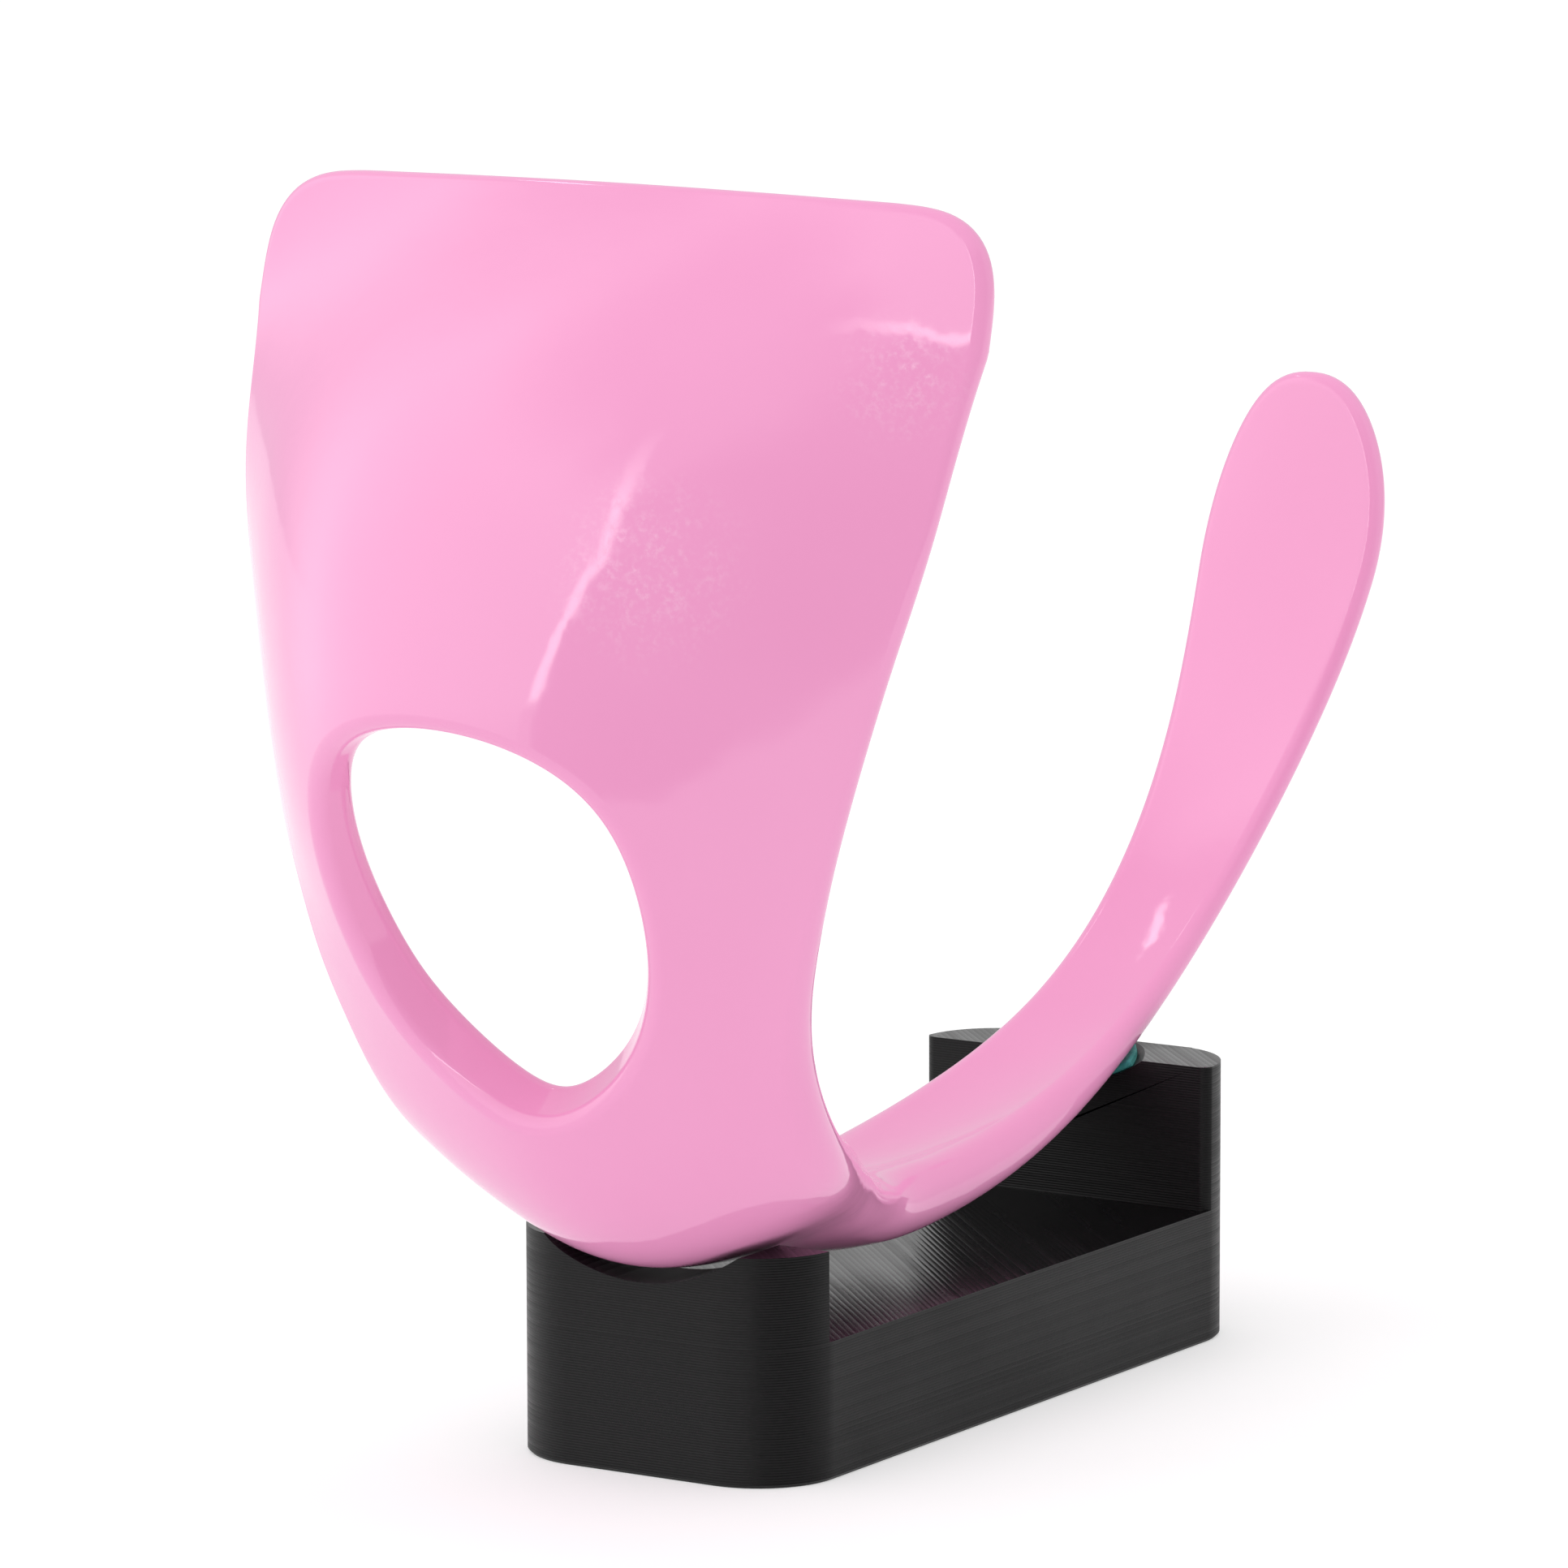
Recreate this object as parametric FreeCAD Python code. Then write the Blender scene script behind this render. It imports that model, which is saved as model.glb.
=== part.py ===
import FreeCAD, Part
import math
import os

# Open U-shaped cuff body resting on a two-tower cradle stand.
# Millimetres. Origin: centre of the stand's underside.
# +X is across the stand, +Y runs from the low tower to the tall tower, +Z is up.
# Everything is symmetric about X = 0.

os.makedirs("parts", exist_ok=True)

# ---------------------------------------------------------------- stand
STAND_W = 26.0          # across (X)
STAND_L = 68.3          # along (Y)
STAND_R = 6.55          # plan corner radius
PLAT_H = 10.5           # platform height
NEAR_H = 17.35          # low tower height
NEAR_T = 5.95           # low tower thickness along Y
FAR_H = 21.95           # tall tower height
FAR_T = 6.9             # tall tower thickness along Y
NOTCH_NEAR_HALF = 8.6   # half width of the arc notch in the low tower
NOTCH_NEAR_D = 2.7      # its depth
NOTCH_FAR_HALF = 7.2    # half width of the arc notch in the tall tower
NOTCH_FAR_D = 2.25      # its depth
FOOT_CH = 0.25          # small chamfer round the foot of the print

# ---------------------------------------------------------------- notch pad
PAD_T = 0.6             # thickness of the lining in the tall tower's notch
PAD_HALF = 6.6          # half width
PAD_Y0 = 0.15           # set back from the notch's inner mouth
PAD_Y1 = 0.5            # set back from the outer mouth

# ---------------------------------------------------------------- cuff body
# Mid-surface: a centre line in the YZ plane, from the plate's top edge down,
# under the belly and up to the tail's tip, with the edges swept inwards.
LEN = 214.861             # length of the centre line's parameter
S_K = [0.000, 12.207, 25.520, 38.297, 49.840, 60.942, 72.869, 85.289, 98.890, 113.912, 127.934, 141.192, 153.779, 165.339, 176.876, 187.978, 199.158, 207.702, 214.861]
C_Y = [-36.215, -44.838, -54.864, -60.532, -58.825, -52.367, -45.783, -37.455, -23.907, -8.996, 5.091, 18.102, 29.893, 39.825, 48.652, 55.912, 61.435, 64.290, 66.021]
C_Z = [94.981, 88.458, 78.834, 65.677, 50.449, 39.246, 29.637, 20.180, 17.640, 15.605, 16.297, 19.192, 23.647, 29.436, 36.866, 45.461, 55.371, 63.636, 70.751]
HALF_W = [31.761, 29.880, 28.496, 26.030, 22.837, 19.854, 17.308, 15.284, 10.023, 5.043, 4.828, 4.718, 4.155, 4.066, 4.628, 5.676, 6.803, 7.040, 6.576]            # half width of the rim's centre line
S_B = [0.000, 25.520, 38.297, 49.840, 60.942, 72.869, 85.289, 98.890, 113.912, 127.934, 153.779, 187.978, 214.861]
BOW = [0.00489, 0.03696, 0.05251, 0.05545, 0.04416, 0.03359, 0.04347, 0.06298, 0.06580, 0.05960, 0.03999, 0.00271, -0.04529]               # curvature across the width, 1/mm
S_KEEL = [60.942, 63.942, 66.942, 69.942, 72.942, 75.942, 78.942, 81.942, 84.942, 87.942, 90.942, 93.942, 96.942, 99.942, 102.942, 105.942, 108.942, 111.942, 114.942, 117.942, 120.942, 123.942, 126.942, 129.942]
KEEL = [0.000, 0.095, 0.314, 0.559, 0.733, 0.842, 0.942, 1.017, 1.050, 1.033, 0.981, 0.906, 0.818, 0.724, 0.575, 0.391, 0.214, 0.087, 0.043, 0.027, 0.013, 0.005, 0.000, 0.000]               # extra lift of the flanks beside the belly's keel, mm
S_T = [0.000, 49.840, 98.890, 153.779, 214.861]
THICK = [2.635, 3.464, 5.924, 2.638, 2.562]             # wall thickness
S_TH = [0, 20, 40, 58, 75, 92, 110, 130, 150, 170, LEN + 2]
SWEEP = [-32, -22, -2, 20, 45, 72, 90, 108, 128, 150, 170]   # direction of the bow, degrees from +Y
CORNER_S = 10.329        # top corner rounding, down the edge
CORNER_X = 7.321        # top corner rounding, along the top
CORNER_P = 0.558         # top corner shape
CROWN = -0.771         # fall of the top edge at X = 30
TIP_L = 15.108          # length of the tail tip's rounding
HOLE_S = 57.689           # oval opening: centre along the centre line
HOLE_L = 15.722           # half length
HOLE_A = [13.145, -2.672, 2.516, -1.830]           # half width terms
HOLE_IN = 1.258         # the opening's wall lies this far inside the oval
HOLE_R = 1.2            # edge rounding of the opening

# ---------------------------------------------------------------- splines


def natural(xs, ys):
    n = len(xs)
    h = [xs[i + 1] - xs[i] for i in range(n - 1)]
    a = [0.0] * n
    b = [1.0] * n
    c = [0.0] * n
    d = [0.0] * n
    for i in range(1, n - 1):
        a[i] = h[i - 1]
        b[i] = 2 * (h[i - 1] + h[i])
        c[i] = h[i]
        d[i] = 6 * ((ys[i + 1] - ys[i]) / h[i] - (ys[i] - ys[i - 1]) / h[i - 1])
    for i in range(1, n):
        w = a[i] / b[i - 1]
        b[i] -= w * c[i - 1]
        d[i] -= w * d[i - 1]
    m = [0.0] * n
    m[-1] = d[-1] / b[-1]
    for i in range(n - 2, -1, -1):
        m[i] = (d[i] - c[i] * m[i + 1]) / b[i]

    def f(x):
        i = 0
        while i < n - 2 and x > xs[i + 1]:
            i += 1
        t0 = x - xs[i]
        t1 = xs[i + 1] - x
        return (m[i] * t1 ** 3 + m[i + 1] * t0 ** 3) / (6 * h[i]) + (ys[i] / h[i] - m[i] * h[i] / 6) * t1 + (ys[i + 1] / h[i] - m[i + 1] * h[i] / 6) * t0
    return f


f_y = natural(S_K, C_Y)
f_z = natural(S_K, C_Z)
f_h = natural(S_K, HALF_W)
f_b = natural(S_B, BOW)
f_t = natural(S_T, THICK)
f_a = natural(S_TH, SWEEP)
f_k0 = natural(S_KEEL, KEEL)


def f_k(s):
    return f_k0(s) if S_KEEL[0] < s < S_KEEL[-1] else 0.0


def surf(x, s):
    d = 0.5 * f_b(s) * x * x + f_k(s) * (1.0 - math.exp(-x * x / 45.0))
    a = math.radians(f_a(s))
    return (x, f_y(s) + math.cos(a) * d, f_z(s) + math.sin(a) * d)


def unit(v):
    n = math.sqrt(v[0] ** 2 + v[1] ** 2 + v[2] ** 2)
    return (v[0] / n, v[1] / n, v[2] / n)


def sub(a, b):
    return (a[0] - b[0], a[1] - b[1], a[2] - b[2])


def cross(a, b):
    return (a[1] * b[2] - a[2] * b[1], a[2] * b[0] - a[0] * b[2], a[0] * b[1] - a[1] * b[0])


def add(a, b, k):
    return (a[0] + k * b[0], a[1] + k * b[1], a[2] + k * b[2])


def normal(x, s, e=0.05):
    px = unit(sub(surf(x + e, s), surf(x - e, s)))
    ps = unit(sub(surf(x, s + e), surf(x, s - e)))
    return unit(cross(ps, px))


def outline():
    """Right half of the rim's centre line, even spacing per stretch, with the
    matching point on the spine that each station's row of poles runs to."""
    H = f_h(CORNER_S)
    xt = H - CORNER_X
    off = CROWN * (xt / 30.0) ** 2
    s1 = LEN - TIP_L
    pts = []
    n = 9
    for i in range(n):
        q = i / float(n)
        if i == 1:
            pts.append((xt / n / 3.0, 0.0, 6.0))
        x = xt * q
        pts.append((x, CROWN * (x / 30.0) ** 2, 6.0 + 6.0 * q))
    n = 14
    for i in range(n + 1):
        q = i / float(n)
        t = math.pi / 2 * q
        pts.append((xt + CORNER_X * math.sin(t) ** CORNER_P, off + (CORNER_S - off) * (1 - max(0.0, math.cos(t)) ** CORNER_P), 12.0 + (CORNER_S - 4.0) * q))
    n = 60
    for i in range(1, n):
        s = CORNER_S + (s1 - CORNER_S) * i / n
        sp = s + 8.0 * math.exp(-(s - CORNER_S) / 15.0) - 4.0 * math.exp(-(s1 - s) / 10.0)
        pts.append((f_h(s), s, sp))
    n = 16
    for i in range(n + 1):
        q = i / float(n)
        t = math.pi / 2 * q
        if i == n:
            t2 = math.pi / 2 * (1 - 1.0 / (3 * n))
            pts.append((f_h(s1 + TIP_L * math.sin(t2)) * math.cos(t2) ** 0.8, LEN, LEN - 4.0))
        pts.append((0.0 if i == n else f_h(s1 + TIP_L * math.sin(t)) * math.cos(t) ** 0.8, s1 + TIP_L * math.sin(t), s1 - 4.0 + (LEN - s1) * q))
    return pts


OUT = outline()
N_RIM = 7                # rows of poles round each quarter of the rim
N_FACE = 9               # rows from the rim in to the spine


def rim_frame(i):
    x, s, sp = OUT[i]
    p = surf(x, s)
    n = normal(x, s)
    a = surf(OUT[i - 1][0], OUT[i - 1][1]) if i > 0 else surf(-OUT[1][0], OUT[1][1])
    b = surf(OUT[i + 1][0], OUT[i + 1][1]) if i < len(OUT) - 1 else surf(-OUT[i - 1][0], OUT[i - 1][1])
    t = unit(sub(b, a))
    o = unit(cross(n, t))
    mid = surf(0.0, sp)
    if sum(o[k] * (p[k] - mid[k]) for k in range(3)) < 0:
        o = (-o[0], -o[1], -o[2])
    if i == 0 or i == len(OUT) - 1:
        o = unit((0.0, o[1], o[2]))
        n = unit((0.0, n[1], n[2]))
    return p, n, o


def half_face(side, mirror):
    """Pole grid of one quarter of the skin: side +1 outer, -1 inner."""
    grid = []
    for i in range(len(OUT)):
        x, s, sp = OUT[i]
        p, n, o = rim_frame(i)
        r = f_t(s) / 2.0
        row = []
        e = add(p, o, r)
        row.append(e)
        row.append(add(e, n, side * r * math.radians(90.0 / (N_RIM - 1)) / 3.0 * 1.2))
        for k in range(1, N_RIM):
            a = math.radians(90.0 * k / (N_RIM - 1))
            row.append(add(add(p, o, r * math.cos(a)), n, side * r * math.sin(a)))
        for k in range(1, N_FACE + 1):
            q = 1.0 - k / float(N_FACE)
            if k == N_FACE:
                q1 = 1.0 / (3.0 * N_FACE)
                c = surf(0.0, sp)
                m = normal(0.0, sp)
                c = add(c, m, side * f_t(sp) / 2.0)
                row.append((x * q1, c[1], c[2]))
                row.append((0.0, c[1], c[2]))
            else:
                ss = sp + (s - sp) * q * q
                c = surf(x * q, ss)
                m = normal(x * q, ss)
                row.append(add(c, m, side * f_t(ss) / 2.0))
        if i == 0 or i == len(OUT) - 1:
            row = [(0.0, v[1], v[2]) for v in row]
        grid.append([FreeCAD.Vector(-v[0] if mirror else v[0], v[1], v[2]) for v in row])
    nu = len(grid)
    nv = len(grid[0])

    def knots(n):
        return [float(k) for k in range(n - 2)], [4] + [1] * (n - 4) + [4]
    ku, mu = knots(nu)
    kv, mv = knots(nv)
    bs = Part.BSplineSurface()
    bs.buildFromPolesMultsKnots(grid, mu, mv, ku, kv, False, False, 3, 3)
    return bs.toShape()


faces = [half_face(1, False), half_face(-1, False), half_face(1, True), half_face(-1, True)]
shell = Part.makeShell(faces)
shell.sewShape()
shell = shell.Shells[0] if shell.Shells else shell
body = Part.makeSolid(shell)
if body.Volume < 0:
    body.reverse()


def hole_point(a):
    sn = math.sin(a)
    x = math.cos(a) * (HOLE_A[0] + HOLE_A[1] * sn + HOLE_A[2] * sn * sn + HOLE_A[3] * sn ** 3)
    return x, HOLE_S + HOLE_L * sn


def hole_ring(off, grow):
    pts = []
    n = 48
    for i in range(n):
        a = 2 * math.pi * i / n
        x, s = hole_point(a)
        xa, sa = hole_point(a - 0.03)
        xb, sb = hole_point(a + 0.03)
        p = surf(x, s)
        m = normal(x, s)
        t = unit(sub(surf(xb, sb), surf(xa, sa)))
        o = unit(cross(m, t))
        mid = surf(0.0, HOLE_S)
        if sum(o[k] * (p[k] - mid[k]) for k in range(3)) < 0:
            o = (-o[0], -o[1], -o[2])
        q = add(add(p, m, off * f_t(s) / 2.0), o, grow)
        pts.append(FreeCAD.Vector(*q))
    c = Part.BSplineCurve()
    c.interpolate(Points=pts, PeriodicFlag=True)
    return Part.Wire([c.toShape()])


# the oval is where the rounding of the opening's edge starts, so the clear
# opening is HOLE_IN smaller all round
ring_in = hole_ring(-1.9, -HOLE_IN)
ring_out = hole_ring(1.9, -HOLE_IN)
side = Part.makeLoft([ring_in, ring_out], False, True)
cap_in = Part.makeFilledFace(ring_in.Edges)
cap_out = Part.makeFilledFace(ring_out.Edges)
skin = Part.makeShell(side.Faces + cap_in.Faces + cap_out.Faces)
skin.sewShape()
plug = Part.makeSolid(skin.Shells[0] if skin.Shells else skin)
if not plug.isInside(FreeCAD.Vector(*surf(0.0, HOLE_S)), 0.001, True):
    plug = plug.reversed()
print("plug", plug.isValid(), round(plug.Volume, 1))
cuff = body.cut(plug)
solids = sorted(cuff.Solids, key=lambda q: q.Volume)
cuff = solids[-1]
wall = None
for f in cuff.Faces:
    if f.BoundBox.XMax < 15 and f.BoundBox.XMin > -15 and f.BoundBox.ZMax < 66 and f.Area < 700 and f.BoundBox.ZLength < 40:
        wall = f if wall is None or f.Area > wall.Area else wall
ROUNDED = False
if wall is not None:
    keys = [e for e in cuff.Edges if any(e.isSame(w) for w in wall.Edges)]
    rim = [e for e in keys if e.Length > 8.0]
    for rad in (HOLE_R, 0.8 * HOLE_R, 0.6 * HOLE_R):
        try:
            g = cuff.makeFillet(rad, rim)
            if g.isValid() and g.Solids and g.Volume > 0.9 * cuff.Volume:
                cuff = g.Solids[0]
                ROUNDED = True
                break
        except Exception as err:
            print("rounding", rad, err)
print("opening rounded", ROUNDED)
cuff.exportStep("parts/cuff_body.step")
print("cuff", cuff.isValid(), cuff.ShapeType, round(cuff.Volume, 1), cuff.BoundBox)

# ---------------------------------------------------------------- stand solid


def rounded_plan(w, l, r, h):
    b = Part.makeBox(w, l, h, FreeCAD.Vector(-w / 2, -l / 2, 0))
    up = [e for e in b.Edges if abs(e.BoundBox.ZLength - h) < 1e-6 and e.BoundBox.XLength < 1e-6 and e.BoundBox.YLength < 1e-6]
    return b.makeFillet(r, up)


def notch(half, depth, top, y0, y1):
    r = (half * half + depth * depth) / (2 * depth)
    zc = top - depth + r
    return Part.makeCylinder(r, y1 - y0, FreeCAD.Vector(0, y0, zc), FreeCAD.Vector(0, 1, 0)), r, zc


blank = rounded_plan(STAND_W, STAND_L, STAND_R, FAR_H)
y_near = -STAND_L / 2 + NEAR_T
y_far = STAND_L / 2 - FAR_T
# space between the towers
gap = Part.makeBox(STAND_W + 10, y_far - y_near, FAR_H, FreeCAD.Vector(-STAND_W / 2 - 5, y_near, PLAT_H))
low = Part.makeBox(STAND_W + 2, NEAR_T + 5, FAR_H, FreeCAD.Vector(-STAND_W / 2 - 1, -STAND_L / 2 - 1, NEAR_H))
low = low.common(Part.makeBox(STAND_W + 2, STAND_L / 2 + y_near + 1.0, FAR_H, FreeCAD.Vector(-STAND_W / 2 - 1, -STAND_L / 2 - 1, NEAR_H)))
stand = blank.cut(gap).cut(low)
cn, rn, zn = notch(NOTCH_NEAR_HALF, NOTCH_NEAR_D, NEAR_H, -STAND_L / 2 - 2, y_near + 2)
cf, rf, zf = notch(NOTCH_FAR_HALF, NOTCH_FAR_D, FAR_H, y_far - 2, STAND_L / 2 + 2)
stand = stand.cut(cn).cut(cf)
foot = [e for e in stand.Edges if e.BoundBox.ZMax < 1e-4]
try:
    g = stand.makeChamfer(FOOT_CH, foot)
    if g.isValid():
        stand = g
except Exception as err:
    print("foot", err)
stand = stand.Solids[0]
stand.exportStep("parts/cradle_stand.step")
print("stand", stand.isValid(), round(stand.Volume, 1), stand.BoundBox)

# ---------------------------------------------------------------- pad solid
outer = Part.makeCylinder(rf, FAR_T - PAD_Y0 - PAD_Y1, FreeCAD.Vector(0, y_far + PAD_Y0, zf), FreeCAD.Vector(0, 1, 0))
inner = Part.makeCylinder(rf - PAD_T, FAR_T, FreeCAD.Vector(0, y_far, zf), FreeCAD.Vector(0, 1, 0))
ring = outer.cut(inner)
keep = Part.makeBox(2 * PAD_HALF, FAR_T, rf, FreeCAD.Vector(-PAD_HALF, y_far, zf - rf - 1))
pad = ring.common(keep).Solids[0]
pad.exportStep("parts/notch_pad.step")
print("pad", pad.isValid(), round(pad.Volume, 2), pad.BoundBox)

for a, b, n in ((cuff, stand, "cuff/stand"), (cuff, pad, "cuff/pad"), (stand, pad, "stand/pad")):
    c = a.common(b)
    print(n, "overlap mm3", round(c.Volume, 4), "gap mm", round(a.distToShape(b)[0], 3))
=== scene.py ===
import math

import bmesh
import bpy
import numpy as np
from mathutils import Matrix, Vector, geometry


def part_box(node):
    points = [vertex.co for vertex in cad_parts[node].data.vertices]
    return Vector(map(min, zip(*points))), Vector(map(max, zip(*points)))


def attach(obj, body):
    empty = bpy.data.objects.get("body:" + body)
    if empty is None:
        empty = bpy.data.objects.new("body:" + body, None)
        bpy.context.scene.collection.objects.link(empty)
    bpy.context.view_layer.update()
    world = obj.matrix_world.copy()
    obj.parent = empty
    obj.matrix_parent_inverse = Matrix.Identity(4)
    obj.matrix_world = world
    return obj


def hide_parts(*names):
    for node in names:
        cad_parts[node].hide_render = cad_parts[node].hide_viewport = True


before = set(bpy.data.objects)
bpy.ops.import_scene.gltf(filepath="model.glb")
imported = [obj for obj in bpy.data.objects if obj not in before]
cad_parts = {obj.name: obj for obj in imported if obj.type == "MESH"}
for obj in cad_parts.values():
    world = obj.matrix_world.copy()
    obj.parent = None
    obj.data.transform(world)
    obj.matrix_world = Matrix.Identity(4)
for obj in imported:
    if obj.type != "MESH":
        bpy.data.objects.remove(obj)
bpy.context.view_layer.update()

MM = 0.001
scene = bpy.context.scene

# ------------------------------------------------------------------ camera
cam_data = bpy.data.cameras.new("camera")
cam_data.sensor_width = 36.0
cam_data.sensor_fit = "HORIZONTAL"
cam_data.lens = 223.845
cam_data.clip_start = 0.02
cam_data.clip_end = 50.0
cam = bpy.data.objects.new("camera", cam_data)
scene.collection.objects.link(cam)
right = Vector((0.84338699, 0.53730124, -0.00239964))
up = Vector((-0.08461094, 0.13721914, 0.98692041))
back = Vector((0.53060284, -0.8321528, 0.1611904))
pose = Matrix((right, up, back)).transposed().to_4x4()
pose.translation = Vector((0.38803546, -0.62246908, 0.16699685))
cam.matrix_world = pose
scene.camera = cam

# ------------------------------------------------------------------ cuff tables (mm)
LEN = 214.861
S_K = [0.000, 12.207, 25.520, 38.297, 49.840, 60.942, 72.869, 85.289, 98.890, 113.912, 127.934, 141.192, 153.779, 165.339, 176.876, 187.978, 199.158, 207.702, 214.861]
C_Y = [-36.215, -44.838, -54.864, -60.532, -58.825, -52.367, -45.783, -37.455, -23.907, -8.996, 5.091, 18.102, 29.893, 39.825, 48.652, 55.912, 61.435, 64.290, 66.021]
C_Z = [94.981, 88.458, 78.834, 65.677, 50.449, 39.246, 29.637, 20.180, 17.640, 15.605, 16.297, 19.192, 23.647, 29.436, 36.866, 45.461, 55.371, 63.636, 70.751]
HALF_W = [31.761, 29.880, 28.496, 26.030, 22.837, 19.854, 17.308, 15.284, 10.023, 5.043, 4.828, 4.718, 4.155, 4.066, 4.628, 5.676, 6.803, 7.040, 6.576]
S_B = [0.000, 25.520, 38.297, 49.840, 60.942, 72.869, 85.289, 98.890, 113.912, 127.934, 153.779, 187.978, 214.861]
BOW = [0.00489, 0.03696, 0.05251, 0.05545, 0.04416, 0.03359, 0.04347, 0.06298, 0.06580, 0.05960, 0.03999, 0.00271, -0.04529]
S_KEEL = [60.942, 63.942, 66.942, 69.942, 72.942, 75.942, 78.942, 81.942, 84.942, 87.942, 90.942, 93.942, 96.942, 99.942, 102.942, 105.942, 108.942, 111.942, 114.942, 117.942, 120.942, 123.942, 126.942, 129.942]
KEEL = [0.000, 0.095, 0.314, 0.559, 0.733, 0.842, 0.942, 1.017, 1.050, 1.033, 0.981, 0.906, 0.818, 0.724, 0.575, 0.391, 0.214, 0.087, 0.043, 0.027, 0.013, 0.005, 0.000, 0.000]
S_T = [0.000, 49.840, 98.890, 153.779, 214.861]
THICK = [2.635, 3.464, 5.924, 2.638, 2.562]
S_TH = [0, 20, 40, 58, 75, 92, 110, 130, 150, 170, LEN + 2]
SWEEP = [-32, -22, -2, 20, 45, 72, 90, 108, 128, 150, 170]
CORNER_S, CORNER_X, CORNER_P = 10.329, 7.321, 0.558
CROWN = -0.771
TIP_L = 15.108
HOLE_S, HOLE_L = 57.689, 15.722
HOLE_A = [13.145, -2.672, 2.516, -1.830]
HOLE_EDGE = 1.258


def natural(xs, ys):
    xs = np.asarray(xs, float)
    ys = np.asarray(ys, float)
    n = len(xs)
    h = np.diff(xs)
    a = np.zeros((n, n))
    d = np.zeros(n)
    a[0, 0] = a[-1, -1] = 1.0
    for i in range(1, n - 1):
        a[i, i - 1], a[i, i], a[i, i + 1] = h[i - 1], 2 * (h[i - 1] + h[i]), h[i]
        d[i] = 6 * ((ys[i + 1] - ys[i]) / h[i] - (ys[i] - ys[i - 1]) / h[i - 1])
    m = np.linalg.solve(a, d)

    def f(x):
        x = np.asarray(x, float)
        i = np.clip(np.searchsorted(xs, x) - 1, 0, n - 2)
        t0, t1, hh = x - xs[i], xs[i + 1] - x, h[i]
        return (m[i] * t1 ** 3 + m[i + 1] * t0 ** 3) / (6 * hh) + (ys[i] / hh - m[i] * hh / 6) * t1 + (ys[i + 1] / hh - m[i + 1] * hh / 6) * t0
    return f


f_y, f_z, f_h = natural(S_K, C_Y), natural(S_K, C_Z), natural(S_K, HALF_W)
f_b, f_t, f_a = natural(S_B, BOW), natural(S_T, THICK), natural(S_TH, SWEEP)
f_k0 = natural(S_KEEL, KEEL)


def f_k(s):
    s = np.asarray(s, float)
    return np.where((s > S_KEEL[0]) & (s < S_KEEL[-1]), f_k0(np.clip(s, S_KEEL[0], S_KEEL[-1])), 0.0)


def surf(x, s):
    x, s = np.broadcast_arrays(np.asarray(x, float), np.asarray(s, float))
    d = 0.5 * f_b(s) * x * x + f_k(s) * (1 - np.exp(-x * x / 45.0))
    a = np.radians(f_a(s))
    return np.stack([x, f_y(s) + np.cos(a) * d, f_z(s) + np.sin(a) * d], -1)


def unit(v):
    return v / np.maximum(np.linalg.norm(v, axis=-1, keepdims=True), 1e-12)


def normal_of(fn, x, s, e=0.04):
    px = unit(fn(x + e, s) - fn(x - e, s))
    ps = unit(fn(x, s + e) - fn(x, s - e))
    return unit(np.cross(ps, px))


# ------------------------------------------------------------------ outline of the cuff, in (x, s)
def outline():
    H = float(f_h(CORNER_S))
    xt = H - CORNER_X
    off = CROWN * (xt / 30.0) ** 2
    s1 = LEN - TIP_L
    q = np.linspace(0, 1, 200, endpoint=False)
    top = np.stack([xt * q, CROWN * (xt * q / 30.0) ** 2], -1)
    t = np.linspace(0, 1, 900) ** 1.6 * math.pi / 2
    cor = np.stack([xt + CORNER_X * np.sin(t) ** CORNER_P, off + (CORNER_S - off) * (1 - np.clip(np.cos(t), 0, 1) ** CORNER_P)], -1)
    s = np.linspace(CORNER_S, s1, 1500)[1:]
    side = np.stack([f_h(s), s], -1)
    t = np.linspace(0, math.pi / 2, 600)[1:]
    st = s1 + TIP_L * np.sin(t)
    tip = np.stack([f_h(st) * np.clip(np.cos(t), 0, 1) ** 0.8, st], -1)
    tip[-1, 0] = 0.0
    p = np.concatenate([top, cor, side, tip])
    w = surf(p[:, 0], p[:, 1])
    c = np.r_[0, np.cumsum(np.linalg.norm(np.diff(w, axis=0), axis=1))]
    n = int(round(c[-1] / 0.42))
    u = np.linspace(0, c[-1], n + 1)
    out = np.stack([np.interp(u, c, p[:, 0]), np.interp(u, c, p[:, 1])], -1)
    out[0] = p[0]
    out[-1] = p[-1]
    return out


def hole_xy(a):
    sn = np.sin(a)
    return np.cos(a) * (HOLE_A[0] + HOLE_A[1] * sn + HOLE_A[2] * sn ** 2 + HOLE_A[3] * sn ** 3), HOLE_S + HOLE_L * sn


OUT = outline()
a = np.linspace(math.pi / 2, -math.pi / 2, 1200)
hx, hs = hole_xy(a)
w = surf(hx, hs)
c = np.r_[0, np.cumsum(np.linalg.norm(np.diff(w, axis=0), axis=1))]
RING = np.interp(np.linspace(0, c[-1], int(c[-1] / 0.42) + 1), c, a)
HX, HS = hole_xy(RING)
HX[0] = HX[-1] = 0.0
HOLE = np.stack([HX, HS], -1)       # from the opening's bottom round the right side to its top


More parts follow.
